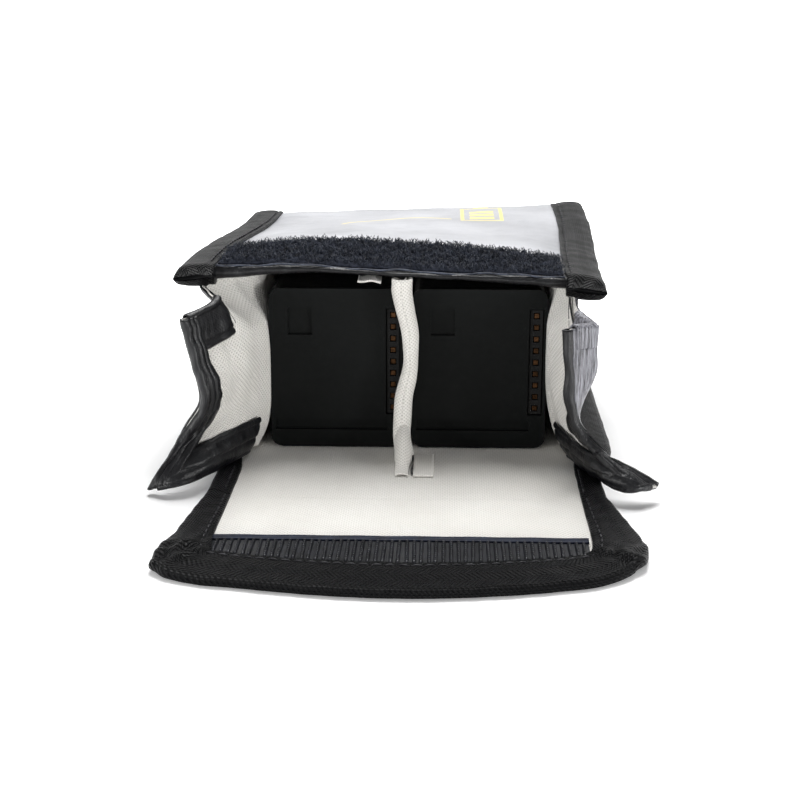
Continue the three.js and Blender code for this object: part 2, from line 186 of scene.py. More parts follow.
def grid_object(
    name, points, material, thickness=0.0, closed=False, uv_turn=0.0, capped=False, meets=None
):
    """A grid of points as a smooth surface with its own lengths, in millimetres, as its UV map."""
    rows, columns = points.shape[:2]
    ring = np.concatenate([points, points[:, :1]], axis=1) if closed else points
    u = lengths_along(np.swapaxes(ring, 0, 1)).T.copy()
    u -= u.mean(axis=1, keepdims=True)
    v = lengths_along(ring)
    if closed:
        v = np.repeat(v.mean(axis=1, keepdims=True), ring.shape[1], axis=1)
    if meets is not None:  # the row where another sheet carries the same weave on
        middle = ring.shape[1] // 2
        u += (ring[:, middle, 0] - u[:, middle])[:, None]
        v = v - v[meets]
    cosine, sine = math.cos(uv_turn), math.sin(uv_turn)
    uv = np.stack([u * cosine - v * sine, u * sine + v * cosine], -1)
    i, j = np.meshgrid(np.arange(rows - 1), np.arange(ring.shape[1] - 1), indexing="ij")
    i, j = i.ravel(), j.ravel()
    corners = [(i, j), (i, j + 1), (i + 1, j + 1), (i + 1, j)]
    faces = np.stack([a * columns + b % columns for a, b in corners], -1).tolist()
    face_uv = np.stack([uv[a, b] for a, b in corners], 1).reshape(-1, 2).tolist()
    if capped:
        for start in (0, (rows - 1) * columns):
            cap = [start + k for k in range(columns)]
            faces.append(cap[::-1] if start else cap)
            face_uv += [[0.0, 0.0]] * columns
    obj = mesh_object(name, points.reshape(-1, 3), faces, material, face_uv)
    if thickness:
        solid = obj.modifiers.new("thickness", "SOLIDIFY")
        solid.thickness = thickness * MM
        solid.offset = 0.0
        shading = obj.modifiers.new("shading", "WEIGHTED_NORMAL")
        shading.mode = "FACE_AREA"
        shading.weight = 100
    return obj


def tube_points(path, radius, sides=6):
    """Rings of points round a path; the radius may be one number or one for each point."""
    path = np.asarray(path, float)
    radius = np.broadcast_to(radius, len(path))
    tangent = unit(np.gradient(path, axis=0))
    up = np.where(np.abs(tangent[:, 2:3]) < 0.9, [[0.0, 0.0, 1.0]], [[0.0, 1.0, 0.0]])
    right = unit(np.cross(tangent, up))
    lift = np.cross(right, tangent)
    angle = np.linspace(0, 2 * np.pi, sides, endpoint=False)
    ring = np.cos(angle)[None, :, None] * right[:, None] + np.sin(angle)[None, :, None] * lift[:, None]
    return path[:, None] + ring * radius[:, None, None]


def many_tubes(name, paths, radius, material, sides=5):
    """Many short tubes, all with the same number of points, in one mesh."""
    points, faces = [], []
    for path in paths:
        start = len(points) * sides
        rings = tube_points(path, radius, sides)
        points.extend(rings)
        count = len(rings)
        for i in range(count - 1):
            for j in range(sides):
                k = (j + 1) % sides
                a, b = start + i * sides, start + (i + 1) * sides
                faces.append((a + j, a + k, b + k, b + j))
        faces.append(tuple(start + j for j in range(sides))[::-1])
        faces.append(tuple(start + (count - 1) * sides + j for j in range(sides)))
    return mesh_object(name, np.concatenate(points), faces, material)


def running_length(path):
    return np.concatenate([[0], np.cumsum(np.linalg.norm(np.diff(path, axis=0), axis=1))])


STITCH_PITCH = 3.0
STITCH = 2.1  # length of one stitch
STITCH_RADIUS = 0.2


def stitches(name, path):
    """A row of black stitches along a path: each dips into the cloth at its two ends."""
    run = running_length(path)
    rise = np.array([-0.35, 0.75, 1.0, 0.75, -0.35]) * STITCH_RADIUS
    paths = []
    for start in np.arange(STITCH_PITCH / 2, run[-1] - STITCH, STITCH_PITCH):
        places = start + np.linspace(0, STITCH, 5)
        points = np.stack([np.interp(places, run, path[:, k]) for k in range(3)], -1)
        paths.append(points + np.outer(rise, (0, 0, 1)))
    return many_tubes(name, paths, STITCH_RADIUS, BLACK_THREAD)


# ---- Materials -------------------------------------------------------------------------------


class NodeTree:
    """Adds nodes to a tree; a value may be a number or another node's output."""

    def __init__(self, tree):
        self.tree = tree

    def node(self, kind, values=None, **settings):
        made = self.tree.nodes.new("ShaderNode" + kind)
        for label, value in settings.items():
            setattr(made, label, value)
        for label, value in (values or {}).items():
            if isinstance(value, bpy.types.NodeSocket):
                self.tree.links.new(value, made.inputs[label])
            else:
                made.inputs[label].default_value = value
        return made

    def math(self, operation, a, b=0.0):
        return self.node("Math", {0: a, 1: b}, operation=operation).outputs[0]

    def spread(self, value, low, high, to_low=0.0, to_high=1.0):
        values = {0: value, 1: low, 2: high, 3: to_low, 4: to_high}
        return self.node("MapRange", values, clamp=True).outputs[0]


class Finish(NodeTree):
    """A material being made: its nodes, its shader and its surface lengths in millimetres."""

    def __init__(self, name, colour, roughness, **settings):
        self.material = bpy.data.materials.new(name)
        self.material.use_nodes = True
        super().__init__(self.material.node_tree)
        self.shader = self.tree.nodes["Principled BSDF"]
        self.shader.inputs["Base Color"].default_value = (*colour, 1)
        self.shader.inputs["Roughness"].default_value = roughness
        for label, value in settings.items():
            self.shader.inputs[label.replace("_", " ")].default_value = value
        self.height = None

    def lengths(self):
        """(across, along) of the surface's own UV map, in millimetres."""
        place = self.node("SeparateXYZ", {0: self.node("UVMap", uv_map="cloth").outputs[0]})
        return place.outputs[0], place.outputs[1]

    def place(self):
        """Where a point is in the frame, in millimetres."""
        here = self.node("TexCoord").outputs["Object"]
        return self.node("VectorMath", {0: here, 3: 1 / MM}, operation="SCALE").outputs[0]

    def wave(self, value, period):
        return self.math("SINE", self.math("MULTIPLY", value, 2 * math.pi / period))

    def noise(self, size, stretch=(1, 1, 1), detail=3.0, roughness=0.55):
        """Noise from 0 to 1, with spots about size millimetres across."""
        where = self.node("Mapping", {"Vector": self.place(), "Scale": [1 / s for s in stretch]})
        values = {0: where.outputs[0], "Scale": 1 / size, "Detail": detail, "Roughness": roughness}
        return self.node("TexNoise", values).outputs[0]

    def bump(self, height, depth, strength=1.0):
        """Adds a bump of the given depth in millimetres to those before it."""
        values = {"Height": height, "Distance": depth * MM, "Strength": strength}
        if self.height is not None:
            values["Normal"] = self.height
        self.height = self.node("Bump", values).outputs[0]
        self.tree.links.new(self.height, self.shader.inputs["Normal"])

    def tint(self, amount, colour_a, colour_b):
        """Base colour between two colours by an uneven amount."""
        mix = self.node("Mix", data_type="RGBA")
        self.tree.links.new(amount, mix.inputs[0])
        for socket, colour in ((mix.inputs[6], colour_a), (mix.inputs[7], colour_b)):
            if isinstance(colour, bpy.types.NodeSocket):
                self.tree.links.new(colour, socket)
            else:
                socket.default_value = (*colour, 1)
        self.tree.links.new(mix.outputs[2], self.shader.inputs["Base Color"])
        return mix.outputs[2]

    def mottle(self, size, low, high, colour_a, colour_b, detail=3.0):
        """Base colour that wanders between two colours in spots about size millimetres across."""
        return self.tint(self.spread(self.noise(size, detail=detail), low, high), colour_a, colour_b)

    def between(self, value, low, high):
        """1 where a value lies between two limits, else 0."""
        above = self.math("GREATER_THAN", value, low)
        return self.math("MULTIPLY", above, self.math("LESS_THAN", value, high))

    def rough(self, amount, low, high):
        self.tree.links.new(self.spread(amount, 0.0, 1.0, low, high), self.shader.inputs["Roughness"])

    def plain_weave(self, pitch):
        """Height of a plain weave whose threads are pitch apart."""
        across, along = self.lengths()
        over = self.math("MULTIPLY", self.wave(across, 2 * pitch), self.wave(along, 2 * pitch))
        threads = self.math("ADD", self.wave(across, pitch), self.wave(along, pitch))
        return self.math("ADD", over, self.math("MULTIPLY", threads, 0.25))


def glass_cloth(name, pitch, dark, depth):
    finish = Finish(name, (0.80, 0.785, 0.745), 0.62, Sheen_Weight=0.25, Specular_IOR_Level=0.35)
    weave = finish.plain_weave(pitch)
    soft = finish.mottle(24, 0.3, 0.75, (0.74, 0.725, 0.69), (0.66, 0.64, 0.60), detail=4.0)
    finish.tint(finish.spread(weave, -1.4, 0.2, 1.0, 0.0), soft, dark)
    finish.rough(finish.noise(2.0), 0.5, 0.75)
    finish.bump(finish.noise(9.0, detail=4.0), 0.8, 0.5)
    finish.bump(weave, depth, 0.8)
    return finish.material


def silver_cloth():
    # Silver-grey coated cloth whose light colour stands partly for glare on the panel: partly the
    # cloth's own colour, partly painted reflection.
    finish = Finish("silver_cloth", (0.45, 0.455, 0.48), 0.42, Metallic=0.35)
    fine = finish.plain_weave(0.45)
    # Cloudy patches of lighter and darker silver: painted reflection, standing for the glare that
    # varies over the panel.
    silver_with_painted_glare = finish.mottle(30, 0.32, 0.68, (0.33, 0.335, 0.355), (0.50, 0.505, 0.53), detail=4.0)
    finish.tint(print_mask(finish), silver_with_painted_glare, (0.78, 0.66, 0.24))
    finish.rough(finish.noise(5.0, detail=6.0), 0.26, 0.5)
    finish.bump(finish.noise(12, stretch=(1, 2.2, 1), detail=6.0), 1.1, 0.5)
    finish.bump(fine, 0.05, 0.5)
    return finish.material


def print_mask(finish):
    """A plain printed picture on the front panel: a wide arc, and a battery with charge bars."""
    x, y, z = finish.node("SeparateXYZ", {0: finish.place()}).outputs

    def panel(x_range, y_range):
        return finish.math("MULTIPLY", finish.between(x, *x_range), finish.between(y, *y_range))

    flat = finish.node("CombineXYZ", {0: x, 1: y})
    values = {0: flat.outputs[0], 1: (2.0, 64.0, 0.0)}
    far = finish.node("VectorMath", values, operation="DISTANCE").outputs["Value"]
    arc = finish.math("MULTIPLY", finish.between(far, 26.0, 27.1), finish.math("GREATER_THAN", y, 74.0))
    mask = finish.math("MULTIPLY", arc, finish.math("LESS_THAN", x, 12.0))
    outside, inside = panel((15.0, 29.0), (86.0, 112.0)), panel((16.2, 27.8), (87.2, 110.8))
    body = finish.math("SUBTRACT", outside, inside)
    mask = finish.math("MAXIMUM", mask, body)
    mask = finish.math("MAXIMUM", mask, panel((19.5, 24.5), (112.0, 114.5)))
    for start in (89.0, 94.5, 100.0):
        mask = finish.math("MAXIMUM", mask, panel((18.0, 26.0), (start, start + 3.6)))
    return finish.math("MULTIPLY", mask, finish.math("GREATER_THAN", z, PANEL_TOP - 1.5))


def coated_cloth(name, streak_and_sheen, above=None):
    """Black polyurethane on a woven back, creased, with streaks of uneven near-black tone; given a pale
    colour, the streaks above a height and towards the front are painted sheen, pale reflections of
    light on the glossy coat.
    """
    finish = Finish(name, (0.004, 0.004, 0.005), 0.28, Specular_IOR_Level=0.34)
    streaks = finish.noise(2.6, stretch=(1, 1, 5), detail=6.0, roughness=0.62)
    folds = finish.noise(8.0, stretch=(1, 1.4, 2.4), detail=5.0)
    amount = finish.spread(streaks, 0.42, 0.70)
    if above is not None:
        _x, depth, height = finish.node("SeparateXYZ", {0: finish.place()}).outputs
        # Painted sheen: pale streaks that stand for reflections of light on the glossy coat, above the
        # given height and fading out towards the rear.
        painted_sheen_streaks = finish.noise(0.55, stretch=(1, 1, 16), detail=6.0, roughness=0.7)
        painted_sheen_streaks = finish.spread(painted_sheen_streaks, 0.36, 0.70)
        amount = finish.math("MULTIPLY", painted_sheen_streaks, finish.spread(height, above, above + 8))
        amount = finish.math("MULTIPLY", amount, finish.spread(depth, -9.0, 4.0, 1.0, 0.0))
    finish.tint(amount, (0.003, 0.003, 0.004), streak_and_sheen)
    finish.rough(finish.noise(3.5, detail=5.0), 0.22, 0.50)
    finish.bump(folds, 1.3, 0.75)
    finish.bump(streaks, 0.5, 0.85)
    finish.bump(finish.plain_weave(0.5), 0.03, 0.4)
    return finish.material


def webbing(name):
    """Black woven tape: slanted ribs that turn back in a herringbone."""
    finish = Finish(name, (0.008, 0.0085, 0.010), 0.45, Specular_IOR_Level=0.09)
    across, along = finish.lengths()
    turned = finish.math("PINGPONG", across, 2.6)
    slant = finish.math("ADD", along, finish.math("MULTIPLY", turned, 0.9))
    rib = finish.wave(slant, 1.15)
    thread = finish.wave(across, 0.62)
    weave = finish.math("ADD", rib, finish.math("MULTIPLY", thread, 0.35))
    finish.tint(finish.spread(weave, -0.6, 1.2), (0.001, 0.001, 0.0012), (0.0045, 0.0048, 0.0056))
    finish.rough(finish.noise(4.0), 0.32, 0.50)
    finish.bump(finish.noise(7.0, detail=5.0), 0.8, 0.5)
    finish.bump(weave, 0.15, 0.9)
    return finish.material


def brushed_loop():
    colour = (0.010, 0.012, 0.018)
    finish = Finish("brushed_loop", colour, 0.9, Sheen_Weight=0.08, Specular_IOR_Level=0.1)
    finish.shader.inputs["Sheen Tint"].default_value = (0.55, 0.62, 0.85, 1)
    finish.mottle(1.6, 0.35, 0.65, (0.004, 0.005, 0.008), (0.018, 0.021, 0.032))
    finish.bump(finish.noise(0.8, detail=5.0), 0.5, 0.9)
    return finish.material


def nylon(name, colour, bright, roughness=0.42):
    finish = Finish(name, colour, roughness, Specular_IOR_Level=0.25)
    finish.mottle(2.5, 0.35, 0.7, colour, bright)
    finish.bump(finish.noise(0.6), 0.08, 0.6)
    return finish.material


def moulded_plastic(name, colour, roughness):
    finish = Finish(name, colour, roughness, Specular_IOR_Level=0.10)
    finish.mottle(16, 0.3, 0.7, colour, [c * 1.35 for c in colour], detail=5.0)
    finish.rough(finish.noise(3.0, detail=5.0), roughness - 0.08, roughness + 0.12)
    finish.bump(finish.noise(0.45, detail=2.0), 0.05, 0.7)
    return finish.material


def gold():
    finish = Finish("gold_plate", (0.62, 0.42, 0.20), 0.3, Metallic=1.0)
    finish.mottle(1.5, 0.3, 0.7, (0.070, 0.034, 0.016), (0.022, 0.012, 0.006))
    finish.bump(finish.noise(0.5), 0.03, 0.5)
    return finish.material


GLASS = glass_cloth("glass_cloth", 0.6, (0.46, 0.445, 0.415), 0.11)
# The divider's glass cloth, with darker threads than the lining's: the extra darkness is painted shade,
# for the shade the divider stands in inside the mouth.
FOLD_PAINTED_SHADE = glass_cloth("glass_fold_painted_shade", 0.5, (0.36, 0.345, 0.315), 0.04)
SILVER = silver_cloth()
COATED = coated_cloth("coated_cloth", (0.010, 0.0105, 0.012))
# The right wing's coating, with painted sheen: pale streaks of reflected light, above 17 mm and towards
# the front.
SHEEN_PAINTED_COATING = coated_cloth("coating_with_painted_sheen", (0.36, 0.36, 0.40), above=17.0)
WEBBING = webbing("woven_binding")
LOOP = brushed_loop()
LOOP_FIBRE = nylon("loop_fibre", (0.008, 0.010, 0.016), (0.04, 0.048, 0.07), 0.55)
SELVEDGE = nylon("loop_selvedge", (0.015, 0.018, 0.027), (0.07, 0.08, 0.11), 0.5)
HOOK = nylon("hook_nylon", (0.004, 0.0045, 0.006), (0.016, 0.017, 0.022), 0.36)
NAVY = nylon("hook_selvedge", (0.005, 0.007, 0.018), (0.012, 0.018, 0.04), 0.6)
BLACK_THREAD = nylon("black_thread", (0.010, 0.010, 0.012), (0.05, 0.05, 0.055), 0.45)
PLASTIC = moulded_plastic("pack_plastic", (0.0032, 0.0038, 0.0037), 0.5)
BLOCK_PLASTIC = moulded_plastic("contact_plastic", (0.010, 0.010, 0.010), 0.55)
BUTTON_PLASTIC = moulded_plastic("button_plastic", (0.03, 0.03, 0.034), 0.36)
GOLD = gold()


# ---- Shape of the pouch ----------------------------------------------------------------------

LEAN = 4.65  # how far the top of the mouth hangs to the left


def top_height(x, y):
    """Height of the front panel's cloth: propped open at the mouth, and a little at the rear right."""
    lip = 4.1 - 0.026 * x + 0.9 * bump_at(x, -24, 18)
    lip = lip - 0.8 * smooth((np.abs(x) - INNER) / BINDING)
    swell = 3.3 * smooth((y + 2) / 24) * np.clip(1 - (x / 48) ** 2, 0, 1)
    rear = 2.1 * (1 + x / HALF) * smooth((y - 45) / 70)
    return PANEL_TOP + (lip + swell) * (1 - smooth((y - 10) / 122)) + rear


def settle(points):
    """Leans the top of the pouch to the left at its mouth."""
    x, y, z = np.moveaxis(points, -1, 0)
    mouth = 1 - smooth(y / 95)
    high = smooth((z - 12) / 36)
    return stacked(x - (LEAN - 0.017 * x) * mouth * high, y, z)


WALL_HEIGHTS = (3, 8, 14, 20, 27, 33, 40, 45, 50)
WALLS = {  # inner face of each gusset at the mouth
    -1: (-42.4, -39.9, -38.7, -38.45, -38.4, -38.5, -39.3, -40.6, -42.0),
    1: (43.2, 41.0, 39.6, 38.8, 38.5, 38.5, 38.6, 38.9, 39.4),
}
FLARE_PLACES = (0, 0.2, 0.35, 0.5, 0.8, 1)
# How far the top of the mouth's sides spreads towards the lip's corners.
MOUTH_FLARE = {-1: (5.5, 10.7, 6.2, 2.0, 0, 0), 1: (1.5, 3.6, 2.2, 0.4, 0, 0)}
MOUTH_SWELL = {-1: 0.7, 1: 1.7}  # how far the lining bulges in front of the packs


def wall_x(side, y, z):
    mouth = through(WALL_HEIGHTS, WALLS[side], z)
    rear = side * (41.7 + 2.0 * ((z - 25) / 22) ** 2)
    swell = MOUTH_SWELL[side] * smooth((z - 5) / 12) * smooth((51 - z) / 8) * bump_at(y, 0.2, 2.6)
    flare = MOUTH_FLARE[side][0] * smooth((12 - y) / 8.4) * (y >= GUSSET_FRONT) * smooth((z - 38) / 12)
    return mixed(mouth, rear, smooth((y - 10) / 90)) + side * (flare - swell)


def wall_top(side, y):
    return top_height(side * 43.0, y) - 2.8


WALL_BOTTOM = 2.9


def gusset_surface(side, y, up):
    z = mixed(WALL_BOTTOM, wall_top(side, y), up)
    return stacked(wall_x(side, y, z), y, z)


# Front edge of each wing, as x places at rising shares of its height.
WING_SHARES = {-1: (0, 0.25, 0.5, 0.75, 1), 1: (0, 0.16, 0.33, 0.5, 0.75, 1)}
WING_EDGES = {-1: (-66.5, -60.2, -53.0, -55.0, -57.5), 1: (65.2, 53.7, 46.1, 43.6, 43.0, 42.3)}
WING_TOPS = {-1: (None, 50.7, 49.2, 46.9, 45.9), 1: (None, 49.0, 46.2, 43.8, 44.0)}
WING_BOTTOMS = {-1: (WALL_BOTTOM, 4.3, 4.9, 3.8, 1.2), 1: (WALL_BOTTOM, 4.3, 5.0, 4.6, 3.7)}
SKIRT = {-1: 14.0, 1: 18.0}  # how far a wing's bottom edge sweeps forward over the flap
WING_PLACES = (0, 0.15, 0.35, 0.7, 1)
WING_RUN = GUSSET_FRONT - WING_FRONT


def wing_surface(side, across, up):
    """Inner face of a wing: across is 0 at the gusset and 1 at the front, up from 0 to 1."""
    y = GUSSET_FRONT - WING_RUN * across
    tops = (wall_top(side, GUSSET_FRONT),) + WING_TOPS[side][1:]
    top = through(WING_PLACES, tops, across)
    bottom = through(WING_PLACES, WING_BOTTOMS[side], across)
    z = mixed(bottom, top, up)
    edge = through(WING_SHARES[side], WING_EDGES[side], up)
    wall = wall_x(side, GUSSET_FRONT, z) - side * MOUTH_FLARE[side][0] * smooth((z - 38) / 12)
    x = mixed(wall, edge, np.clip(across, 0, None) ** 1.12)
    x = x + side * through(FLARE_PLACES, MOUTH_FLARE[side], across) * smooth((z - 38) / 12)
    low = 1 - smooth(up / 0.34)
    y = y - SKIRT[side] * low * np.sin(np.pi * np.clip(across / 1.12, 0, 1) ** 1.1) ** 1.3
    y = y - 0.8 * low * smooth((across - 0.5) / 0.5)
    if side > 0:  # the right wing's front part is bent back inwards
        peak = np.where(across < 0.8, smooth(across / 0.8), smooth((1 - across) / 0.2))
        x = x + 7.4 * smooth((up - 0.27) / 0.5) * peak
    return stacked(x, y, z)


# ---- Outer cloth and lining ------------------------------------------------------------------


def flap_half_width(side, y):
    """Outer edge of the pouch and of the flap's cover, which is drawn in near the fold."""
    narrow = {-1: 50.5, 1: 51.6}[side]
    return side * mixed(HALF, narrow, smooth((4 - y) / 22))


def flap_lift(x, y):
    """The flap rises a little off the surface towards its front edge."""
    forward = smooth((MID_COVER - y) / 60)
    return 0.25 * forward * (1 - 0.5 * (x / HALF) ** 2)


FLOOR_UNEVEN = creases(9, 26, stretch=(1.3, 1, 1))
FLAP_CLOTH_HALF = 47.0  # half of the flap's cloth, which ends inside its tape
OUTER_FLOOR = 0.75  # middle of each layer where it lies on the floor
INNER_FLOOR = FLOOR_TOP - 0.2
TIP_INSET = 3.4  # from the tip's outline in to its cloth
FRONT_ROWS = 50  # rows of the long strip's grid that make the front panel and its rear corner


def side_view(front_y, rear, high, low, radius, counts):
    """(y, z, turn from level) from the mouth along the top, down the rear and forward to the flap."""
    on_top, in_corner, on_rear, on_floor = counts
    turn = np.linspace(0, np.pi / 2, in_corner)[1:]
    sine, cosine = radius * np.sin(turn), radius * np.cos(turn)
    stretches = (
        (np.linspace(front_y, rear - radius, on_top), high, 0.0),
        (rear - radius + sine, high - radius + cosine, turn),
        (rear, np.linspace(high - radius, low + radius, on_rear)[1:], np.pi / 2),
        (rear - radius + cosine, low + radius - sine, turn + np.pi / 2),
        (np.linspace(rear - radius, MID_COVER, on_floor)[1:], low, np.pi),
    )
    line = np.concatenate([stacked(*stretch) for stretch in stretches])
    return (line[:, k : k + 1] for k in range(3))


def strip_points(half, radius, front_y, top_drop, bottom, ruffle, seed):
    top = PANEL_TOP - top_drop
    y, z, turn = side_view(front_y, REAR - 1.0 - top_drop, top, bottom, radius, (44, 7, 14, 70))
    x = np.linspace(-1, 1, 61)[None, :] * half
    share = np.where(z > top - radius - 0.001, 1.0, (z - bottom) / (top - bottom))
    high = np.where(turn > np.pi / 2 + 0.001, 0.0, share)  # how far a row follows the front panel
    on_floor = high < 0.01
    points = stacked(x, y, z + (top_height(x, y) - PANEL_TOP) * high)
    points[..., 0] *= mixed(1.0, FLAP_CLOTH_HALF / half, smooth((6 - y) / 20) * on_floor)
    points[..., 2] += creases(seed, 34)(points) * ruffle * high * (1 - (x / half) ** 8)
    points[..., 2] += FLOOR_UNEVEN(points * [1, 1, 0]) * 0.12 * on_floor * smooth((20 - y) / 24)
    bulge = np.sin(np.pi * np.clip(z / PANEL_TOP, 0, 1)) * (1 - (x / half) ** 2)
    points[..., 1] += 1.6 * bulge * ((y > REAR - 9) & (high > 0) & (high < 1))
    return settle(points)


def long_strip(names, points, material, thickness):
    """The strip's front panel, and the rest of it round the base to the middle of the flap."""
    panel = grid_object(names[0], points[: FRONT_ROWS + 1], material, thickness)
    rest = grid_object(names[1], points[FRONT_ROWS:], material, thickness, meets=-1)
    press_flat(panel)
    bend_at_fold(rest)
    return panel, rest


CONTROL_PAIRS = (  # flap's outline from mid cover round the tip, with the binding's inner edge
    ((-50.5, None), (-44.4, None)), ((-52.3, -50), (-44.5, -50)), ((-54.2, -61), (-44.6, -60)),
    ((-56.6, -71), (-44.3, -67)), ((-57.2, -77), (-43.9, -71)), ((-54.6, -82.2), (-43.1, -73.6)),
    ((-46, -86.6), (-40.0, -75.0)), ((-35, -88.8), (-33, -76.8)), ((-14, -92.4), (-14, -79.4)),
    ((1, -93.2), (1, -80.2)), ((16, -92.2), (16, -79.4)), ((35, -88.6), (33, -76.8)),
    ((47, -84.6), (40.5, -74.9)), ((55, -77.6), (44, -72.8)), ((58.2, -69), (45.1, -67)),
    ((56.8, -60), (45.4, -60)), ((54.2, -49.5), (45.3, -49.5)), ((51.6, None), (45.2, None)),
)


def tip_edges(count=181):
    """Matching points along the flap's outer outline and along its binding's inner edge."""
    fixed = [[(x, MID_COVER if y is None else y) for x, y in pair] for pair in CONTROL_PAIRS]
    outer, inner = np.array(fixed).transpose(1, 0, 2)
    run = running_length(outer)
    places = np.linspace(0, run[-1], count)
    return through(run, outer, places), through(run, inner, places)


def tip_sheet(name, material, z, thickness):
    """The flap's front half as one sheet, out to just inside its binding's outer edge."""
    outer, inner = tip_edges()
    half = len(outer) // 2
    edge = outer + unit(inner - outer) * TIP_INSET
    across = np.linspace(0, 1, 41)[None, :, None]
    flat = mixed(edge[:half, None], edge[:half:-1][:, None], across)
    x, y = flat[..., 0], flat[..., 1]
    points = stacked(x, y, z + flap_lift(x, y))
    points[..., 2] += FLOOR_UNEVEN(points * [1, 1, 0]) * 0.12
    return grid_object(name, points, material, thickness, meets=0)


def bend_at_fold(obj):
    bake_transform(obj)


def bend_at_crease(obj):
    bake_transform(obj)


def make_strips():
    outer = strip_points(HALF - 2.2, 2.4, -0.6, 0.3, OUTER_FLOOR, 0.28, 3)
    inner = strip_points(HALF - 2.6, 1.5, 7.0, 0.95, INNER_FLOOR, 0.12, 5)
    for layer, other, material, slot, node, thickness, floor_z, points in (
        ("outer", "inner", SILVER, "outer_cloth", "shell", 0.6, OUTER_FLOOR, outer),
        ("inner", "outer", GLASS, "glass_lining", "lining", 0.4, INNER_FLOOR, inner),
    ):
        names = (f"front_panel_{layer}", f"base_and_back_{layer}")
        panel, rest = long_strip(names, points, material, thickness)
        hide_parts(f"front_{node}")
        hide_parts(f"base_{node}", f"back_{node}", f"flap_cover_{node}")
        tip = tip_sheet(f"flap_tip_{layer}", material, floor_z, thickness)
        bend_at_crease(tip)
        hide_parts(f"flap_tip_{node}")


# ---- Bindings --------------------------------------------------------------------------------


def seam_section(count=14):
    """Section of a folded tape: shares of its width, heights, and how far round its nose."""
    leg = np.linspace(0, 1, count)[:-1] ** 0.9
    turn = np.linspace(np.pi / 2, -np.pi / 2, 9)
    nose = stacked(1.0, np.sin(turn), np.cos(turn))
    return np.concatenate([stacked(leg, 1.0, 0.0), nose, stacked(leg[::-1], -1.0, 0.0)]).T[:, None]


def binding_profile(share):
    """Slight crown of a tape's face, with a groove at its stitch line."""
    return 0.35 * np.sin(np.pi * np.clip(share, 0, 1)) ** 0.7 - 0.3 * bump_at(share, 0.17, 0.05)


def side_binding(side, name):
    """One tape from the lip's corner back, down the base and forward to the middle of the flap."""
    half = BAG_SEAM / 2
    y, z, turn = side_view(-5.2, REAR - half, SEAM_TOP - half, half, 3.4, (90, 8, 26, 120))
    on_floor = turn > 3.1
    front = turn == 0
    thick = mixed(BAG_SEAM, FLAP_SEAM, smooth((FOLD_Y + 6 - y) / 8) * on_floor)
    z = np.where(on_floor, thick / 2, z)
    share, height, nose = seam_section()
    outer = mixed(HALF * side, flap_half_width(side, y), on_floor)
    inner = side * mixed(INNER, {-1: 44.4, 1: 45.2}[side], smooth((6 - y) / 24) * on_floor)
    end = np.clip((y + 5.2) / 4.0, 0, 1)
    round_end = np.where(front, np.sqrt(np.clip(1 - (1 - end) ** 2, 0.02, 1)), 1.0)
    bulk = 1 + {-1: 0.12, 1: 0.26}[side] * bump_at(y, -1.5, 3.2) * front
    half_thick = thick / 2 * bulk * round_end
    offset = half_thick * height + binding_profile(share) * np.sign(height) * (nose == 0)
    x = mixed(inner, outer - side * half_thick * (1 - nose), share)
    curl = 1.1 * smooth((share - 0.3) / 0.7) * smooth((FOLD_Y - y) / 20) * on_floor
    lift = (top_height(x, y) - PANEL_TOP) * np.clip(np.cos(turn), 0, 1)
    wobble = creases(17 + side, 11)(stacked(x, y, z)) * 0.16
    # The normal turns from up, at the front panel, through rearwards to down, under the pouch.
    outwards = np.cos(turn) * (offset + wobble * (1 - on_floor))
    points = stacked(x + wobble * 0.5, y + np.sin(turn) * (offset + wobble), z + outwards + lift + curl)
    points[..., 2] = np.where(on_floor, np.maximum(points[..., 2], 0.02), points[..., 2])
    return grid_object(name, settle(points), WEBBING, closed=True, capped=True)


def tip_binding():
    """The tape round the flap's tip, thick where it gathers at the two corners."""
    outer, inner = tip_edges(241)
    share, height, nose = seam_section()
    toward = unit(inner - outer)
    corner = bump_at(np.abs(outer[:, :1]), 56, 4.5) * bump_at(outer[:, 1:], -77, 7)
    half = FLAP_SEAM / 2 * (1 + 0.26 * corner)
    reach = outer[:, None] + toward[:, None] * (half * (1 - nose))[..., None]
    flat = mixed(inner[:, None], reach, share[..., None])
    x, y = flat[..., 0], flat[..., 1]
    offset = half * height + binding_profile(share) * np.sign(height) * (nose == 0)
    side_curl = 1.1 * smooth((share - 0.3) / 0.7) * smooth((y + 66) / 20)
    droop = -0.9 * smooth((-outer[:, 1:] - 74) / 14) * smooth((share - 0.35) / 0.65)
    points = stacked(x, y, half + offset + flap_lift(x, y) + side_curl + droop * (height > -0.5))
    gather = creases(31, 5.5)(points) * (0.10 + 0.55 * corner)
    points[..., 2] = np.maximum(points[..., 2] + gather * (height > 0), 0.05)
    points[..., :2] -= toward[:, None] * (gather * 0.6 * nose)[..., None]
    return grid_object("flap_tip_tape", points, WEBBING, closed=True, capped=True)


def make_bindings():
    for name, side in SIDES:
        tape = side_binding(side, f"{name}_side_tape")
        bend_at_fold(tape)
        nodes = [f"{name}_binding_{part}" for part in ("front", "base", "back")]
        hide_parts(*nodes, f"{name}_flap_binding")
        make_side_stitches(name, side)
    tip = tip_binding()
    bend_at_crease(tip)
    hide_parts("flap_tip_binding")
    outer, inner = tip_edges(241)
    path = mixed(inner, outer, 0.17)
    z = FLAP_SEAM + 0.15 + flap_lift(path[:, 0], path[:, 1])
    bend_at_crease(stitches("flap_tip_stitches", np.column_stack([path, z])))


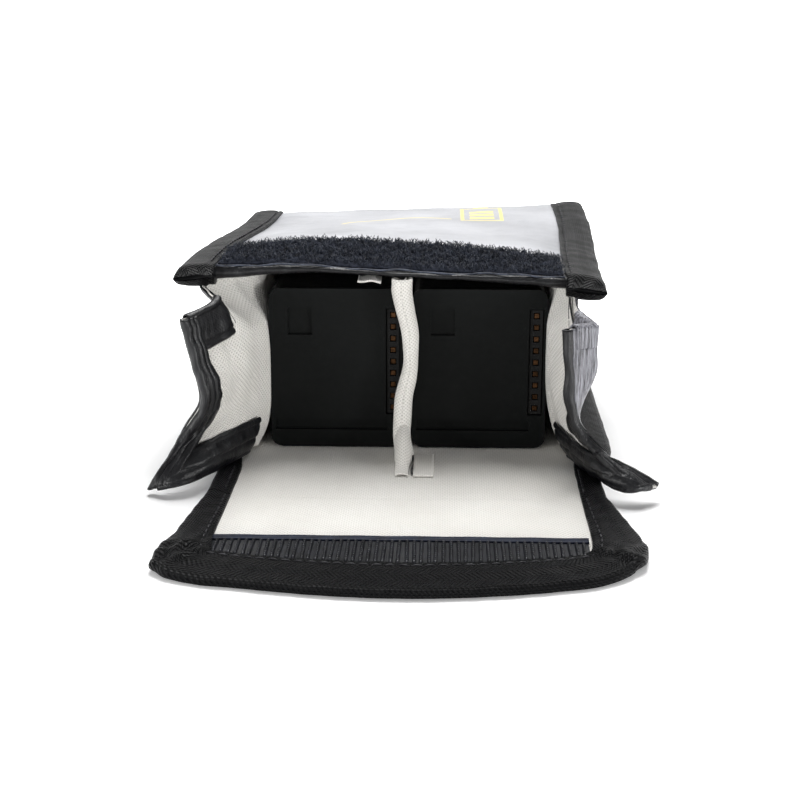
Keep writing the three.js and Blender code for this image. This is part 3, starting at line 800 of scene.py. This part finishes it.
def make_side_stitches(name, side):
    inner = side * (INNER + 1.8)
    y = np.linspace(2, REAR - 8, 60)
    x = np.full_like(y, inner)
    top = settle(np.column_stack([x, y, top_height(x, y) + 1.15]))
    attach(stitches(f"{name}_top_stitches", top), "bag")
    y = np.linspace(FOLD_Y - 7, MID_COVER, 20)
    low = np.column_stack([np.full_like(y, side * 46.0), y, np.full_like(y, FLAP_SEAM + 0.35)])
    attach(stitches(f"{name}_flap_stitches", low), "flap_cover")


# ---- Gussets and wings -----------------------------------------------------------------------


def offset_grid(points, distance, side):
    """Moves a side wall's grid towards the middle of the pouch by a distance."""
    normal = normals_of(points)
    inward = np.sign(-side * normal[..., 0].mean())
    return points + normal * inward * distance


def gusset_grid(side):
    """A side wall with flanges that run outwards into the seams, above, below and at the rear."""
    near, far = np.linspace(GUSSET_FRONT, 12, 10), np.linspace(12, REAR - 3.2, 46)
    y = np.concatenate([near[:-1], far])[:, None]
    wall = gusset_surface(side, y, np.linspace(0, 1, 41)[None, :])
    ruffle = creases(41 + side, 20, stretch=(1, 1.5, 1))(wall) * smooth((y - GUSSET_FRONT) / 12)
    wall[..., 0] += ruffle * 0.35

    def sewn(edge):
        return stacked(side * 51.0, edge[..., 1], edge[..., 2])

    shares = (0.25, 0.6, 1.0)
    low, high = wall[:, :1], wall[:, -1:]
    below = [mixed(low, sewn(low), share) for share in shares[::-1]]
    above = [mixed(high, settle(sewn(high)), share) for share in shares]
    grid = np.concatenate([*below, wall, *above], axis=1)
    rear = grid[-1:]
    return np.concatenate([grid, *(mixed(rear, sewn(rear), share) for share in shares)])


def make_gusset(name, side):
    grid = gusset_grid(side)
    for part, material, inwards, thickness, slot, node, turn in (
        ("gusset_skin", COATED, -0.55, 0.6, "side_cloth", "gusset_shell", 0.0),
        ("gusset_inner", GLASS, 0.0, 0.4, "glass_lining", "gusset_lining", 0.12),
    ):
        points = offset_grid(grid, inwards, side)
        piece = grid_object(f"{name}_{part}", points, material, thickness, uv_turn=turn)
        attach(piece, "bag")
        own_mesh(piece)
        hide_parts(f"{name}_{node}")


def tuck(piece, name):
    """Rides on the wing."""
    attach(piece, f"{name}_wing")
    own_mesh(piece)


def hem_path(reach, back, folds):
    """Section of a turned hem: (distance in from the edge, offset inwards), inner leg to outer leg."""
    inner = np.linspace(reach, 0.6, 22)
    rows = sum(bump_at(inner, place, 0.45) for place in folds)
    raised = 0.95 + 0.28 * np.sin(np.pi * np.clip(inner / reach, 0, 1)) - 0.42 * rows
    raised[0] = 0.45
    turn = np.linspace(np.pi / 2, -np.pi / 2, 9)
    nose = np.column_stack([0.4 - HEM_BULGE * np.cos(turn), 0.1 + HEM_BULGE * np.sin(turn)])
    outer = np.column_stack([np.linspace(0.8, back, 8), np.full(8, -0.95)])
    outer[-1, 1] = -0.6
    return np.concatenate([np.column_stack([inner, raised]), nose, outer])


WING_HEIGHT = 44.0
HEM_BULGE = 1.15  # radius of a hem's nose
FRONT_HEM_WIDTHS = {-1: (1.0, 0.98, 0.72, 0.5, 0.42), 1: (1.5, 1.15, 0.5, 0.42, 0.38)}


def edge_hem(side, where, path, along):
    """A hem folded over one edge of a wing; where is front, top or bottom."""
    inward, offset = path[None, :, 0], path[None, :, 1]
    station = along[:, None]
    step = 0.01
    if where == "front":
        width = through((0, 0.25, 0.5, 0.75, 1), FRONT_HEM_WIDTHS[side], station)
        inward = np.where(inward > 0, inward * width, inward)

    def at(distance, run=station):
        if where == "front":
            return wing_surface(side, 1 - distance / WING_RUN, run)
        share = distance / WING_HEIGHT
        return wing_surface(side, run, 1 - share if where == "top" else share)

    inside = np.maximum(inward, 0.0)
    face = at(inside)
    outwards = unit(at(0 * inward) - at(0 * inward + step))
    normal = unit(np.cross(outwards + 0 * face, at(inside, np.clip(station + step, 0, 1.02)) - face))
    normal *= np.sign(-side * normal[..., 0].mean())
    pucker = np.sin(station * WING_HEIGHT / 1.3) * 0.05
    beyond = outwards * np.minimum(inward, 0.0)[..., None]
    return face - beyond + normal * (offset + 0.4 + pucker)[..., None]


HEMS = (  # edge, its hem's inner leg, outer leg and rows of stitches, where it runs along the edge
    ("front", 7.4, 5.5, (1.9, 4.6), (0.0, 1.0)),
    ("top", 9.6, 6.5, (8.0,), (0.5, 0.95)),
    ("bottom", 8.6, 5.5, (3.9, 7.2), (0.16, 0.9)),
)


def make_wing(name, side):
    across, up = np.linspace(0, 1, 45), np.linspace(0, 1, 61)
    grid = wing_surface(side, across[:, None], up[None, :])
    rumple = creases(51 + side, 10, stretch=(1, 1, 1.8))(grid)
    grid[..., 0] += rumple * smooth(across / 0.25)[:, None] * 0.32
    hems = []
    for where, reach, back, folds, run in HEMS:
        points = edge_hem(side, where, hem_path(reach, back, folds), np.linspace(*run, 60))
        points += (creases(61 + side, 6)(points) * 0.16)[..., None] * [1.0, 0.2, 0.2]
        if where == "front":
            points[..., 0] -= side * 0.35
        # The right wing's top hem takes the coating with painted sheen.
        coating = SHEEN_PAINTED_COATING if side > 0 and where == "top" else COATED
        piece = grid_object(f"{name}_wing_{where}_fold", points, coating, 0.5)
        tuck(piece, name)
        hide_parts(f"{name}_wing_{where}_hem")
        hems.append(piece)
    for part, material, inwards, thickness, slot, node in (
        # the right wing's skin takes the coating with painted sheen
        ("wing_skin", SHEEN_PAINTED_COATING if side > 0 else COATED, -0.5, 0.6, "side_cloth", "wing_shell"),
        ("wing_inner", GLASS, 0.05, 0.4, "glass_lining", "wing_lining"),
    ):
        points = offset_grid(grid, inwards, side)
        piece = grid_object(f"{name}_{part}", points, material, thickness, uv_turn=0.12)
        tuck(piece, name)
        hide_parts(f"{name}_{node}")
        pieces = hems if part == "wing_skin" else make_seam_edge(name, side)


SEAM_ACROSS = (0.20, 0.34, 0.43, 0.47)  # raw edge of a wing's lining, from the lip down
SEAM_UP = (0.99, 0.97, 0.91, 0.83)


def make_seam_edge(name, side):
    """The lining's raw edge at the mouth with its overlock threads, all riding on the wing."""
    run = np.linspace(0, 1, 24)
    across = through((0, 0.4, 0.75, 1), SEAM_ACROSS, run)
    up = through((0, 0.4, 0.75, 1), SEAM_UP, run)
    rows = [wing_surface(side, across + shift, up) for shift in np.linspace(-0.035, 0.035, 5)]
    points = np.stack(rows, axis=1) + np.array([-side * 0.8, -0.35, 0.1])
    strip = grid_object(f"{name}_seam_edge", points, GLASS, 0.3)
    pieces = [strip]
    for label, row in (("inner", 0), ("outer", 4)):
        pieces.append(many_tubes(f"{name}_seam_thread_{label}", [points[:, row]], 0.24, BLACK_THREAD))
    for piece in pieces:
        tuck(piece, name)
    return pieces


# ---- Mouth: hem, loop strip, divider ---------------------------------------------------------


PRESS_FLOOR = 46.0  # the height the lip would be pressed towards, and the share of its rise it keeps; the divider's front stays below it
PRESS_KEEP = 0.78


def press_flat(piece):
    """Rides on the bag."""
    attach(piece, "bag")
    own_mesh(piece)


def make_lip():
    x = np.linspace(-INNER - 1.5, INNER + 1.5, 121)[None, :]
    drop = 1.0 + 2.4 * (x / INNER) ** 2 * np.where(x < 0, 1.0, 0.75)
    top_y = np.linspace(LOOP_REAR + 1.4, -0.4, 22)[:, None]
    top = stacked(x, top_y, top_height(x, top_y) + 0.55)
    angle = np.linspace(math.pi / 2, -math.pi / 2, 13)[:, None]
    centre = top_height(x, 0 * x - 0.4) + 0.55 - drop / 2
    nose = stacked(x, -0.4 - 1.5 * np.cos(angle), centre + drop / 2 * np.sin(angle))
    under_y = np.linspace(0.2, 11, 10)[:, None]
    under_drop = mixed(drop, 2.6, smooth(under_y / 8))
    under = stacked(x, under_y, top_height(x, under_y) + 0.55 - under_drop)
    points = np.concatenate([top, nose[1:-1], under])
    points += (creases(71, 9, stretch=(1.6, 1, 1))(points) * 0.2)[..., None] * np.array([0, 0.5, 0.5])
    hem = grid_object("lip_hem", settle(points), COATED, 0.5)
    press_flat(hem)
    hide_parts("front_hem")


LOOP_FIBRES = 5200
FIBRE_RADIUS = 0.075


def loop_fibres(half, front, rear):
    """Small arches of thread, each with a place, heading, width, height and lean of its own."""
    chance = np.random.default_rng(75)
    count = LOOP_FIBRES
    foot_x = chance.uniform(-half + 0.3, half - 0.3, count)
    foot_y = chance.uniform(front + 0.5, rear - 0.2, count)
    heading = chance.uniform(0, 2 * np.pi, count)
    width = chance.uniform(0.5, 1.5, count)
    tall = chance.uniform(0.7, 1.7, count) * mixed(0.75, 1.15, chance.random(count))
    turn = np.linspace(0, math.pi, 5)
    paths = []
    for k in range(count):
        out = (0.5 - 0.5 * np.cos(turn)) * width[k]
        lean = chance.normal(0, 0.35, 2)
        rise = np.sin(turn) * tall[k]
        x = foot_x[k] + out * math.cos(heading[k]) + lean[0] * rise
        y = foot_y[k] + out * math.sin(heading[k]) + lean[1] * rise
        paths.append(settle(np.column_stack([x, y, top_height(x, y) + 1.35 + rise])))
    return paths


def make_loop_strip():
    half = INNER - 0.6
    front, rear = -0.2, LOOP_REAR + 0.8
    x = np.linspace(-half, half, 121)[None, :]
    y = np.linspace(front, rear, 24)[:, None]
    edge = smooth((y - front) / 1.5) * smooth((rear - y) / 1.5) * smooth((half - np.abs(x)) / 1.5)
    points = stacked(x, y, top_height(x, y) + 1.0 + 0.5 * edge)
    points[..., 2] += creases(73, 7)(points) * 0.16 * edge
    base = grid_object("loop_base", settle(points), LOOP, 0.5)
    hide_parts("loop_strip")
    pile = many_tubes("loop_fibres", loop_fibres(half, front, rear), FIBRE_RADIUS, LOOP_FIBRE, sides=3)
    x = np.linspace(-half - 0.4, half + 0.4, 140)
    y = -1.25 + 0.22 * np.sin(x / 3.1) + 0.15 * np.sin(x / 1.3)
    z = top_height(x, y) + 0.95 + 0.25 * np.sin(x / 4.3 + 1) + 0.12 * np.sin(x / 1.7)
    path = settle(np.column_stack([x, y, z]))
    selvedge = many_tubes("loop_front_edge", [path], 0.24, SELVEDGE, sides=8)
    for piece in (base, pile, selvedge):
        press_flat(piece)


DIVIDER_HEIGHTS = (2.6, 10, 19, 25, 31, 38, 45, 52)
DIVIDER_CENTRES = (-0.9, -1.5, -1.0, 0.0, 0.9, 0.6, -0.6, -1.6)
DIVIDER_HALF_WIDTHS = (2.5, 2.2, 2.3, 2.1, 1.8, 2.1, 2.4, 2.6)
DIVIDER_FRONT = -5.1
DIVIDER_FOOT = FLOOR_TOP + 0.2
FOOT_FRONT = -20.0
FOOT_REAR = DIVIDER_FRONT + 1.2


def divider_layer(side):
    """One of the divider's two layers, from the rear to the fold at its front edge."""
    top = top_height(0.0, 20.0) - 1.1
    z = np.linspace(DIVIDER_FOOT, top, 60)[None, :]
    centre = through(DIVIDER_HEIGHTS, DIVIDER_CENTRES, z)
    width = through(DIVIDER_HEIGHTS, DIVIDER_HALF_WIDTHS, z)
    angle = np.linspace(0, math.pi / 2, 10)[:, None]
    front = DIVIDER_FRONT + 1.1 * smooth((z - 10) / 30)
    nose_y = front + 2.0 * (1 - np.sin(angle))
    nose_x = centre + side * width * np.cos(angle)
    nose_y, nose_x = nose_y[::-1], nose_x[::-1]
    near = mixed(front + 2.8, 8.0, np.linspace(0, 1, 18)[:, None])
    back_y = np.concatenate([near, np.linspace(12, REAR - 6, 18)[:, None] + 0 * z])
    gather = smooth((back_y + 2.5) / 6.5)
    behind_x = mixed(centre, 0.0, smooth((back_y + 2) / 10)) + side * mixed(width, 0.45, gather)
    x = np.concatenate([nose_x, behind_x])
    y = np.concatenate([nose_y, back_y])
    points = stacked(x, y, z)
    panel = top_height(0.0, points[..., 1])
    pressed = PRESS_FLOOR + (panel - PRESS_FLOOR) * PRESS_KEEP
    limit = np.minimum(top, mixed(panel - 1.1, pressed - 1.6, smooth((points[..., 1] + 1) / 5)))
    points[..., 2] = mixed(DIVIDER_FOOT, limit, (points[..., 2] - DIVIDER_FOOT) / (top - DIVIDER_FOOT))
    crumple = creases(81, 11, stretch=(3, 1, 1.6))(points) * 0.26
    fine = creases(83, 5, stretch=(3, 1, 2.2))(points) * 0.07
    points[..., 0] += (crumple + fine) * (1 - smooth((points[..., 1] - 1) / 4))
    return points


def make_divider_foot():
    """The divider's fold sweeps forward over the lining into a low foot, beside a sewn tab."""
    y = np.linspace(FOOT_FRONT, FOOT_REAR, 22)[:, None]
    angle = np.linspace(0, math.pi, 17)[None, :]
    rise = 0.6 + 9.5 * smooth((y - FOOT_FRONT) / 17.0) ** 1.3
    width = mixed(1.5, 2.3, smooth((y - FOOT_FRONT) / 14.0))
    x = -1.0 + width * np.cos(angle)
    z = DIVIDER_FOOT + rise * np.sin(angle) ** 0.8
    ridge = stacked(x, y, z)
    ridge[..., 0] += creases(87, 9)(ridge) * 0.18
    foot = grid_object("divider_foot", ridge, FOLD_PAINTED_SHADE, 0.3)
    foot_tab = np.stack(np.meshgrid(np.linspace(2.0, 7.4, 9), np.linspace(-3.0, -20.5, 24)), -1)
    z = FLOOR_TOP + 0.45 + creases(85, 9)(np.concatenate([foot_tab, 0 * foot_tab[..., :1]], -1)) * 0.15
    tab = grid_object("divider_foot_tab", np.concatenate([foot_tab, z[..., None]], -1), FOLD_PAINTED_SHADE, 0.4)
    y = np.linspace(-4.0, -19.0, 22)
    line = np.column_stack([1.75 + 0.2 * np.sin(y / 2.0), y, np.full_like(y, FLOOR_TOP + 0.45)])
    thread = many_tubes("divider_foot_thread", [line], 0.3, BLACK_THREAD)
    for piece in (tab, thread):
        bend_at_fold(piece)
    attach(foot, "bag")
    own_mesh(foot)
    return foot, tab, thread


def make_divider_top():
    x = np.linspace(-8.6, -2.4, 12)[None, :]
    y = np.linspace(-2.6, 3.0, 6)[:, None]
    z = top_height(x, y) - 2.1 + 0.25 * np.sin(x)
    tab = grid_object("divider_top_tab", settle(stacked(x, y, z)), GLASS, 0.5)
    press_flat(tab)
    return (tab,)


def make_divider():
    ends = {"left": make_divider_top, "right": make_divider_foot}
    for name, side in SIDES:
        layer = grid_object(f"divider_{name}_layer", divider_layer(side), FOLD_PAINTED_SHADE, 0.4, uv_turn=0.1)
        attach(layer, "bag")
        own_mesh(layer)
        ends[name]()
        if side < 0:
            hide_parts("divider_panel", "divider_top_flange")


# ---- Hook strip ------------------------------------------------------------------------------

HOOK_HALF = 44.2  # half of the strip's width
RIB_PITCH = 1.72
RIB_RADIUS = 0.46
HOOK_PITCH = 1.25  # from hook to hook along a rib
HOOK_HEIGHT = 0.62  # lower than a real hook, so that a sliding pack clears it
HOOK_RADIUS = 0.22
HOOK_BACK = HOOK_REAR + 0.4  # rear edge of the strip
HOOK_FLOOR = FLOOR_TOP + 0.15


def hook_front(x):
    """Front edge of the strip, along the inner edge of the tip's binding."""
    inner = tip_edges(361)[1]
    across = inner[len(inner) // 4 : len(inner) * 3 // 4]
    across = across[np.argsort(across[:, 0])]
    return np.interp(x, across[:, 0], across[:, 1])


def rib_and_hook_paths():
    """Middle lines of the moulded ribs and of the small hooks that stand along them."""
    ribs, hooks = [], []
    chance = np.random.default_rng(91)
    start = HOOK_BACK - 2.6
    bend = np.linspace(0, 1, 6)
    for rib_x in np.arange(-HOOK_HALF + 1.2, HOOK_HALF - 0.8, RIB_PITCH):
        end = float(hook_front(rib_x)) - 0.4
        slant = chance.uniform(-0.25, 0.25)
        run = np.linspace(start, end, 7)
        share = (run - start) / (end - start)
        height = HOOK_FLOOR + 0.62 + flap_lift(rib_x, run)
        ribs.append(np.column_stack([rib_x + slant * share, run, height]))
        for row in np.arange(0.6, abs(end - start) - 0.2, HOOK_PITCH):
            lean = chance.normal(0, 0.10, 2)
            y = start - row
            hook_x = rib_x + slant * row / abs(end - start) + lean[0] * bend
            hook_y = y + 0.55 * np.sin(bend * 2.6) * bend + lean[1] * bend
            rise = HOOK_HEIGHT * np.sin(np.minimum(bend * 2.3, 2.6))
            hook_z = HOOK_FLOOR + 0.5 + float(flap_lift(rib_x, y)) + rise
            hooks.append(np.column_stack([hook_x, hook_y, hook_z]))
    return ribs, hooks


def make_hook_strip():
    """Moulded ribs with rows of small hooks, and a woven edge along the crease side."""
    x = np.linspace(-HOOK_HALF, HOOK_HALF, 90)[None, :]
    y = mixed(HOOK_BACK, hook_front(x) - 1.0, np.linspace(0, 1, 14)[:, None])
    base = grid_object("hook_base", stacked(x, y, HOOK_FLOOR + 0.25 + flap_lift(x, y)), HOOK, 0.5)
    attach(base, "flap_tip")
    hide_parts("hook_strip")
    ribs, hooks = rib_and_hook_paths()
    x = np.linspace(-HOOK_HALF - 0.2, HOOK_HALF + 0.2, 120)
    edge = []
    for k in range(3):
        y = HOOK_BACK - 0.35 - 0.75 * k + 0.1 * np.sin(x / 2.2)
        edge.append(np.column_stack([x, y, HOOK_FLOOR + 0.75 - 0.08 * k + flap_lift(x, y)]))
    for name, paths, radius, material, sides in (
        ("hook_ribs", ribs, RIB_RADIUS, HOOK, 6),
        ("hook_rows", hooks, HOOK_RADIUS, HOOK, 5),
        ("hook_rear_edge", edge, 0.42, NAVY, 6),
    ):
        piece = many_tubes(name, paths, radius, material, sides)
        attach(piece, "flap_tip")


# ---- Battery packs ---------------------------------------------------------------------------


def make_packs():
    looks = {"case": PLASTIC, "end_cap": PLASTIC, "contact_block": BLOCK_PLASTIC,
             "contacts": GOLD, "button": BUTTON_PLASTIC}
    rounding = {"case": 0.5, "end_cap": 0.45, "button": 0.4, "contact_block": 0.1, "contacts": 0.12}
    for name, _side in SIDES:
        for part, material in looks.items():
            obj = frame["nodes"][f"{name}_battery_{part}"]
            obj.data.materials.clear()
            obj.data.materials.append(material)
            bevel = obj.modifiers.new("edges", "BEVEL")
            bevel.width = rounding[part] * MM
            bevel.segments = 2
            bevel.limit_method = "ANGLE"
            bevel.angle_limit = math.radians(40)
            bevel.harden_normals = True


# ---- Floor, light and camera -----------------------------------------------------------------


def make_floor():
    mesh = bpy.data.meshes.new("floor")
    size, below = 12.0, -0.0002
    corners = [(x * size, y * size, below) for x, y in ((-1, -1), (1, -1), (1, 1), (-1, 1))]
    mesh.from_pydata(corners, [], [(0, 1, 2, 3)])
    floor = bpy.data.objects.new("floor", mesh)
    bpy.context.scene.collection.objects.link(floor)
    finish = Finish("floor_paper", (0.95, 0.95, 0.95), 0.9, Specular_IOR_Level=0.1)
    # Painted light: the floor glows, more with distance from the pouch, so the far floor shows white
    # while real shadows show near the pouch.
    finish.shader.inputs["Emission Color"].default_value = (1, 1, 1, 1)
    away = finish.node("VectorMath", {0: finish.place()}, operation="LENGTH").outputs["Value"]
    painted_glow = finish.spread(away, 70.0, 170.0, 0.0, 0.9)
    finish.tree.links.new(painted_glow, finish.shader.inputs["Emission Strength"])
    mesh.materials.append(finish.material)


def area_light(name, place, target, size, power, size_y=None):
    light = bpy.data.lights.new(name, "AREA")
    light.energy = power
    light.size = size
    if size_y:
        light.shape = "RECTANGLE"
        light.size_y = size_y
    lamp = bpy.data.objects.new(name, light)
    lamp.location = place
    lamp.rotation_euler = (Vector(target) - Vector(place)).to_track_quat("-Z", "Y").to_euler()
    bpy.context.scene.collection.objects.link(lamp)


def make_light():
    """White surroundings behind the object, dimmer ones in front, and large soft lights."""
    world = bpy.data.worlds.new("studio")
    bpy.context.scene.world = world
    world.use_nodes = True
    sky = NodeTree(world.node_tree)
    direction = sky.node("SeparateXYZ", {0: sky.node("TexCoord").outputs["Generated"]})
    _x, y, z = direction.outputs
    rear, low = sky.spread(y, -0.6, -0.3), sky.spread(z, 0.34, 0.55, 1.0, 0.0)
    horizon = sky.spread(z, 0.05, 0.10, 1.0, 0.0)
    bright = sky.math("MAXIMUM", sky.math("MULTIPLY", rear, low), horizon)
    background = world.node_tree.nodes["Background"]
    background.inputs[0].default_value = (1, 1, 1, 1)
    world.node_tree.links.new(sky.spread(bright, 0.0, 1.0, 0.18, 1.08), background.inputs[1])
    target = (0, -0.01, 0.02)
    area_light("front_softbox", (-0.05, -0.62, 0.66), target, 0.40, 0.5)
    area_light("overhead_softbox", (0.02, 0.31, 0.73), target, 0.50, 9.3)
    area_light("right_low", (0.56, -0.46, 0.06), target, 0.16, 2.7)
    area_light("left_low", (-0.56, -0.46, 0.06), target, 0.16, 2.3)
    bpy.context.scene.view_settings.view_transform = "Standard"


def make_camera():
    """Camera at the height, distance and tilt that show the pouch's mouth from just above."""
    focal, sensor = 65.75, 36.0
    pitch, yaw = math.radians(16.83), math.radians(1.79)
    camera = bpy.data.cameras.new("camera")
    camera.lens = focal
    camera.sensor_width = sensor
    holder = bpy.data.objects.new("camera", camera)
    holder.location = (0.0100, -0.3859, 0.1344)
    level = math.cos(pitch)
    forward = Vector((-math.sin(yaw) * level, math.cos(yaw) * level, -math.sin(pitch)))
    holder.rotation_euler = forward.to_track_quat("-Z", "Y").to_euler()
    camera.clip_start = 0.01
    camera.clip_end = 50
    bpy.context.scene.collection.objects.link(holder)
    bpy.context.scene.camera = holder


# ---- Scene -----------------------------------------------------------------------------------

make_camera()
make_floor()
make_light()
make_strips()
make_bindings()
for side_name, side_sign in SIDES:
    make_gusset(side_name, side_sign)
    make_wing(side_name, side_sign)
make_lip()
make_loop_strip()
make_divider()
make_hook_strip()
make_packs()
